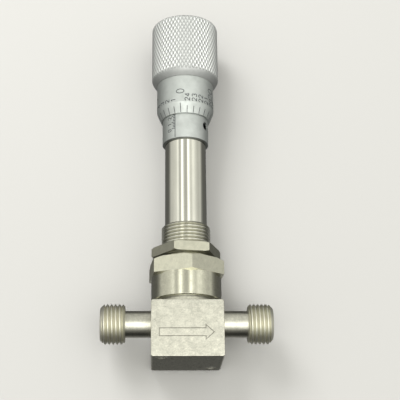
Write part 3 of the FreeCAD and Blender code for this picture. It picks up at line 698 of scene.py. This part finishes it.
def cut_strokes(strokes, width, surface):
    """Thin closed bars, square in section, that follow flat strokes laid on a surface of revolution.

    A stroke's points are moved half a width to each side along its normal; surface turns (right, up) and a
    depth into a place in space. Each bar has a top a hair above the metal and a bottom under it.
    """
    points, faces, used = [], [], 0
    for stroke in strokes:
        gap = np.gradient(stroke, axis=0)
        gap /= np.maximum(np.linalg.norm(gap, axis=1, keepdims=True), 1e-12)
        side = np.stack([-gap[:, 1], gap[:, 0]], axis=1) * width / 2
        count = len(stroke)
        corners = [(stroke + side, 1), (stroke - side, 1), (stroke - side, -1), (stroke + side, -1)]
        ring = np.stack([surface(flat, level) for flat, level in corners], axis=1)
        points.append(ring.reshape(-1, 3))
        row, column = np.meshgrid(np.arange(count - 1), np.arange(4), indexing="ij")
        a = used + row * 4 + column
        b = used + row * 4 + (column + 1) % 4
        faces.append(np.stack([a, b, b + 4, a + 4], axis=-1).reshape(-1, 4))
        last = used + 4 * (count - 1)
        faces.append(np.array([[used + 3, used + 2, used + 1, used], [last, last + 1, last + 2, last + 3]]))
        used += 4 * count
    return np.concatenate(points), np.concatenate(faces)


PROUD = 0.012 * MM  # how far a filled line stands out of the metal, and how far it reaches into it


def thimble_surface(zero):
    """Right and up on the thimble: a cone from the rim to the shoulder, then a cylinder."""
    rim_radius = 9.32 * MM
    bevel = 3.98 * MM

    def place(flat, level):
        radius = rim_radius + (THIMBLE_RADIUS - rim_radius) * np.clip(flat[:, 1] / bevel, 0, 1)
        angle = zero + flat[:, 0] / THIMBLE_RADIUS
        return cylinder_point(radius + level * PROUD, angle, THIMBLE_RIM + flat[:, 1])

    return place


def make_thimble_scale(settings, material):
    """A line for each division on the bevel, a small number by each and a large one by every fifth."""
    spacing = TURN * THIMBLE_RADIUS / settings.divisions
    small, large = settings.small_digit, settings.large_digit
    line_start, line_end, zero_end = 0.12 * MM, 2.5 * MM, 3.55 * MM
    small_start, large_start = 4.25 * MM, 7.4 * MM
    strokes = []
    for mark in range(settings.divisions):
        right = -mark * spacing
        strokes.append(line((right, line_start), (right, line_end if mark else zero_end)))
        if mark:
            strokes += number_strokes(str(mark), small, (right + small / 2, small_start), 1.2)
        if mark % 5 == 0:
            strokes += number_strokes(str(mark), large, (right + large / 2, large_start))
    points, faces = cut_strokes(strokes, settings.line, thimble_surface(settings.zero_angle))
    make_piece("thimble_scale", points, faces, "handle", material)


def make_sleeve_scale(settings, material):
    """A line up the sleeve, a tick every 0.025 inch to its left and a number every 0.1 inch."""
    reading = 0.226 * INCH
    tick = 0.025 * INCH
    short, long = 0.95 * MM, 1.5 * MM
    figure = 1.7 * MM
    zero = THIMBLE_RIM - reading

    def place(flat, level):
        angle = settings.datum_angle + flat[:, 0] / SLEEVE_RADIUS
        return cylinder_point(SLEEVE_RADIUS + level * PROUD, angle, flat[:, 1])

    strokes = [line((0, SLEEVE_BOTTOM + 0.5 * MM), (0, zero + 11 * tick), count=12)]
    for number in range(11):
        numbered = number % 4 == 0
        height = zero + number * tick
        strokes.append(line((0, height), (-long if numbered else -short, height)))
        if numbered:
            strokes += number_strokes(str(number // 4), figure, (-long - 0.15 * MM, height - 1.1 * MM))
    points, faces = cut_strokes(strokes, settings.line, place)
    make_piece("sleeve_scale", points, faces, "valve", material)


# ---------------------------------------------------------------- stage


def add_square(name, corners, material):
    """One square face."""
    mesh = bpy.data.meshes.new(name)
    mesh.from_pydata([tuple(corner) for corner in corners], [], [(0, 1, 2, 3)])
    mesh.materials.append(material)
    square = bpy.data.objects.new(name, mesh)
    bpy.context.scene.collection.objects.link(square)
    return square


def stage_plane(name, centre, up, colour):
    """Wide square seen from its front only: from behind it lets every ray through."""
    reach = 3.0
    right, up = Vector((1, 0, 0)) * reach, Vector(up) * reach
    corners = [Vector(centre) + right * a + up * b for a, b in ((-1, -1), (1, -1), (1, 1), (-1, 1))]
    material, tree = new_material(name + "_matt_paint")
    paint = tree.nodes["Principled BSDF"]
    connect(tree, paint, {"Base Color": (*linear(colour), 1), "Roughness": 0.9, "Specular IOR Level": 0.1})
    clear = node(tree, "ShaderNodeBsdfTransparent")
    back = node(tree, "ShaderNodeNewGeometry").outputs["Backfacing"]
    shown = node(tree, "ShaderNodeMixShader", {0: back, 1: paint, 2: clear})
    connect(tree, tree.nodes["Material Output"], {"Surface": shown})
    plane = add_square(name, corners, material)
    plane.visible_glossy = False
    plane.visible_shadow = False
    plane.visible_diffuse = False


def underside_shade(height):
    """Grey filter under the body, a sheet of painted shade: it dims what the body's flat bottom mirrors, and
    is open under the two foot holes. Nothing else sees it."""
    half = 12.6 * MM
    foot, forward, opening = 9.0 * MM, 0.3 * MM, 2.1 * MM
    material, tree = new_material("painted_shade_filter_grey")
    holes = [distance(tree, (1, 1, 0), (side * foot, side * foot + forward, 0)) for side in (-1, 1)]
    nearest = node(tree, "ShaderNodeMath", dict(enumerate(holes)), operation="MINIMUM")
    # Painted shade: this grey stands for the shadow that the body's bottom face would mirror.
    filter_tint = two_tone(tree, mask(tree, nearest, opening, opening - 0.1 * MM), "#A2A2A2", "#FFFFFF")
    clear = node(tree, "ShaderNodeBsdfTransparent", {"Color": filter_tint})
    connect(tree, tree.nodes["Material Output"], {"Surface": clear})
    corners = [(half * x, half * y, height) for x, y in ((-1, -1), (1, -1), (1, 1), (-1, 1))]
    shade_filter = add_square("underside_painted_shade_filter", corners, material)
    shade_filter.visible_camera = False
    shade_filter.visible_diffuse = False
    shade_filter.visible_shadow = False


def soft_light(name, place, target, size, power):
    """Square lamp aimed at a target, its size in metres and its power in watts. No metal mirrors it."""
    lamp = bpy.data.lights.new(name, "AREA")
    lamp.size = size
    lamp.energy = power
    light = bpy.data.objects.new(name, lamp)
    light.location = place
    light.rotation_mode = "QUATERNION"
    light.rotation_quaternion = (Vector(target) - Vector(place)).to_track_quat("-Z", "Y")
    light.visible_glossy = False
    bpy.context.scene.collection.objects.link(light)


# Compass angle in degrees from the arrow side, positive towards +X, and brightness.
STUDIO_ABOVE = [
    (-180, 0.13), (-138, 0.13), (-114, 0.14), (-103, 0.3), (-92, 0.7), (-78, 0.75), (-62, 0.88),
    (-53, 0.98), (-48, 1.35), (-43, 1.35), (-38, 0.65), (-29, 0.7), (-24, 2.0), (-18, 2.3), (-14, 0.9),
    (-6, 0.62), (3, 0.62), (7, 0.8), (10, 2.1), (15, 2.2), (20, 1.1), (29, 0.85), (38, 1.3), (45, 1.25),
    (58, 0.85), (72, 0.65), (86, 0.75), (94, 0.35), (108, 0.15), (138, 0.13), (180, 0.13),
]
STUDIO_BELOW = [
    (-180, 0.34), (-158, 0.32), (-138, 0.14), (-112, 0.2), (-90, 0.7), (-60, 1.1), (-30, 2.1), (-14, 3.0),
    (14, 3.0), (32, 2.1), (62, 1.1), (88, 0.7), (110, 0.2), (138, 0.14), (158, 0.32), (180, 0.34),
]
# Angle in degrees above the horizon and the share of the brightness left there.
STUDIO_HEIGHT = [
    (-90, 0.05), (-62, 0.08), (-52, 0.25), (-40, 0.42), (-27, 1.0), (24, 1.0), (36, 0.95), (48, 0.85),
    (60, 0.7), (72, 0.5), (90, 0.7),
]
STUDIO_PEAK = 3.0
BACKGROUND = 0.8  # strength that the camera itself sees


def grey_ramp(tree, share, stops):
    """Grey between stops of place and value, for a share that runs from 0 to 1."""
    made = node(tree, "ShaderNodeValToRGB", {"Fac": share})
    elements = made.color_ramp.elements
    elements.remove(elements[1])
    for index, (place, value) in enumerate(stops):
        stop = elements.new(place) if index else elements[0]
        stop.position = place
        stop.color = (value, value, value, 1)
    return made


def round_compass(tree, share, stops):
    """Brightness round the compass as a share of the peak."""
    return grey_ramp(tree, share, [((angle + 180) / 360, value / STUDIO_PEAK) for angle, value in stops])


def studio_world():
    """Soft studio round the object, given as a brightness for each direction.

    Above the horizon it follows the compass: broad panels left and right of the front, narrow strips between
    them that draw bright lines down polished tubes, and a dim back. Below the horizon the front is one broad
    panel. A third ramp over the height dims what is well above or well below.
    """
    world = bpy.data.worlds.new("studio")
    bpy.context.scene.world = world
    world.use_nodes = True
    tree = world.node_tree
    direction = node(tree, "ShaderNodeTexCoord").outputs["Generated"]
    x, y, z = node(tree, "ShaderNodeSeparateXYZ", {"Vector": direction}).outputs
    front = node(tree, "ShaderNodeMath", {0: y, 1: -1.0}, operation="MULTIPLY")
    compass = node(tree, "ShaderNodeMath", {0: x, 1: front}, operation="ARCTAN2")
    share = node(tree, "ShaderNodeMath", {0: compass, 1: 1 / TURN, 2: 0.5}, operation="MULTIPLY_ADD")
    horizon = {"Value": z, "From Min": -0.05, "From Max": 0.22}
    sky = node(tree, "ShaderNodeMapRange", horizon, interpolation_type="SMOOTHSTEP")
    lower, upper = (round_compass(tree, share, stops) for stops in (STUDIO_BELOW, STUDIO_ABOVE))
    around = by_area(tree, sky, lower, upper)
    level = node(tree, "ShaderNodeMath", {0: z, 1: 0.5, 2: 0.5}, operation="MULTIPLY_ADD")
    height = [((math.sin(math.radians(angle)) + 1) / 2, value) for angle, value in STUDIO_HEIGHT]
    strength = both(tree, both(tree, around, grey_ramp(tree, level, height)), STUDIO_PEAK)
    shown = by_area(tree, node(tree, "ShaderNodeLightPath").outputs["Is Camera Ray"], strength, BACKGROUND)
    connect(tree, tree.nodes["Background"], {"Strength": shown, "Color": (*linear("#FFFFFB"), 1)})


def make_camera(settings):
    """Camera whose right, down and forward directions come from a yaw, a pitch and a roll."""
    yaw, pitch, roll = settings.yaw, settings.pitch, settings.roll
    forward = Vector((math.sin(yaw) * math.cos(pitch), math.cos(yaw) * math.cos(pitch), math.sin(pitch)))
    level = Vector((math.cos(yaw), -math.sin(yaw), 0))
    down = forward.cross(level)
    right = math.cos(roll) * level + math.sin(roll) * down
    down = -math.sin(roll) * level + math.cos(roll) * down
    data = bpy.data.cameras.new("camera")
    data.lens = settings.lens
    data.sensor_width = 36
    data.clip_start = 0.01
    camera = bpy.data.objects.new("camera", data)
    turn = Matrix((right, -down, -forward)).transposed().to_4x4()
    camera.matrix_world = Matrix.Translation(settings.camera_place) @ turn
    bpy.context.scene.collection.objects.link(camera)
    bpy.context.scene.camera = camera


# ---------------------------------------------------------------- operators


def dress(material, *names):
    """Puts a material in every slot of these nodes."""
    for name in names:
        for slot in NODES[name].material_slots:
            slot.material = material


class VALVE_OT_knob(bpy.types.Operator):
    """Build the diamond-knurled knob"""

    bl_idname = "valve.knob"
    bl_label = "Knurled knob"

    def execute(self, context):
        finish = context.scene.valve_finish
        settings = context.scene.valve_knob
        make_knob(settings, knurl_plate(finish, settings.depth))
        return {"FINISHED"}


class VALVE_OT_scales(bpy.types.Operator):
    """Engrave the thimble and the sleeve"""

    bl_idname = "valve.scales"
    bl_label = "Engraved scales"

    def execute(self, context):
        settings = context.scene.valve_scale
        wax = filling_wax(settings.ink)
        make_thimble_scale(settings, wax)
        make_sleeve_scale(settings, wax)
        return {"FINISHED"}


class VALVE_OT_outside(bpy.types.Operator):
    """Give the outer steel pieces their finishes"""

    bl_idname = "valve.outside"
    bl_label = "Outer finishes"

    def execute(self, context):
        finish = context.scene.valve_finish
        dress(body_steel(finish), "valve_body")
        dress(bonnet_steel(finish), "bonnet")
        dress(nut_steel(finish), "bonnet_nut", "panel_nut")
        dress(satin_chrome(finish, "steel_satin_chrome_plated"), "thimble")
        # Painted shade along the sleeve's lower edge, for the shadow line between the sleeve and the tube.
        shade_level = SLEEVE_BOTTOM + 0.14 * MM
        dress(satin_chrome(finish, "steel_satin_chrome_painted_shade_edge", shade_level), "micrometer_sleeve")
        # Alloy steel, oil-blackened: near black with a dull oily sheen.
        black = metal("alloy_steel_oil_blackened", "#2B2B2D", 0.42, 0.8 * MM, 0.1 * MM, 0.004 * MM)
        dress(black, "sleeve_set_screw", "knob_set_screws", "spindle_cap_screw")
        return {"FINISHED"}


class VALVE_OT_inside(bpy.types.Operator):
    """Give the hidden pieces their finishes"""

    bl_idname = "valve.inside"
    bl_label = "Inner finishes"

    def execute(self, context):
        # Hardened steel, centreless ground: bright, nearly a mirror, with hair-fine rings.
        hard = metal("tool_steel_hardened_ground", "#CFCFD2", 0.14, 3 * MM, 0.2 * MM, 0.002 * MM, rings=True)
        dress(hard, "micrometer_spindle", "thrust_ball", "thrust_button", "valve_needle", "thimble_washer")
        dress(hard, "spindle_nut", "adjusting_nut")
        # Stainless steel, turned: a little duller than the ground pieces.
        soft = metal("stainless_316_turned_inside", "#C9C7BF", 0.25, 2 * MM, 0.2 * MM, 0.004 * MM, rings=True)
        dress(soft, "stem_rod", "bellows_cap", "bellows_flange", "spring_seat")
        # Nickel alloy sheet, formed and bright annealed: soft sheen with a slight straw tint.
        formed = metal("nickel_alloy_formed_sheet", "#CDC6B4", 0.22, 1.2 * MM, 0.15 * MM, 0.003 * MM)
        dress(formed, "bellows")
        # Music wire, cold drawn: grey with a dull sheen.
        wire = metal("spring_steel_drawn_wire", "#9A9A9C", 0.3, 1 * MM, 0.1 * MM, 0.003 * MM)
        dress(wire, "return_spring", "retaining_ring")
        # Silver plate on nickel: pale and matt.
        silver = metal("nickel_gasket_silver_plated", "#DAD8D0", 0.34, 1 * MM, 0.1 * MM, 0.003 * MM)
        dress(silver, "body_gasket")
        # Tin bronze, turned: warm brown-gold with fine rings.
        bronze = metal("tin_bronze_turned", "#B98A4E", 0.28, 1.5 * MM, 0.15 * MM, 0.004 * MM, rings=True)
        dress(bronze, "guide_bush")
        return {"FINISHED"}


class VALVE_OT_stage(bpy.types.Operator):
    """Set the pale floor and back, the soft light and the camera"""

    bl_idname = "valve.stage"
    bl_label = "Stage"

    def execute(self, context):
        settings = context.scene.valve_stage
        low, high = CAD_BOX
        middle = (high.z - low.z) / 2
        gap = 0.1 * MM
        stage_plane("back_rest", (0, high.y + gap, middle), (0, 0, 1), settings.back)
        stage_plane("floor", (0, 0, low.z - 3 * gap), (0, 1, 0), settings.floor)
        underside_shade(low.z - 2 * gap)
        studio_world()
        soft_light("key", (-0.36, -0.60, 0.60), (0, 0, middle), 0.4, 5.5)
        make_camera(settings)
        context.scene.view_settings.view_transform = "Standard"
        return {"FINISHED"}


class VALVE_PT_sidebar(bpy.types.Panel):
    """Steps that dress the valve, in order"""

    bl_idname = "VALVE_PT_sidebar"
    bl_label = "Metering valve"
    bl_space_type = "VIEW_3D"
    bl_region_type = "UI"
    bl_category = "Valve"

    def draw(self, context):
        for step in STEPS:
            self.layout.operator(step.bl_idname)
        for name in SETTINGS:
            group = getattr(context.scene, name)
            for key in group.__annotations__:
                self.layout.prop(group, key)


SETTINGS = {
    "valve_knob": KnobSettings,
    "valve_scale": ScaleSettings,
    "valve_finish": FinishSettings,
    "valve_stage": StageSettings,
}
STEPS = (VALVE_OT_knob, VALVE_OT_scales, VALVE_OT_outside, VALVE_OT_inside, VALVE_OT_stage)


def register():
    for item in (*SETTINGS.values(), *STEPS, VALVE_PT_sidebar):
        bpy.utils.register_class(item)
    for name, group in SETTINGS.items():
        setattr(bpy.types.Scene, name, bpy.props.PointerProperty(type=group))


def unregister():
    for name in SETTINGS:
        delattr(bpy.types.Scene, name)
    for item in reversed((*SETTINGS.values(), *STEPS, VALVE_PT_sidebar)):
        bpy.utils.unregister_class(item)


def main():
    register()
    for step in STEPS:
        area, name = step.bl_idname.split(".")
        getattr(getattr(bpy.ops, area), name)()


if __name__ == "__main__":
    main()
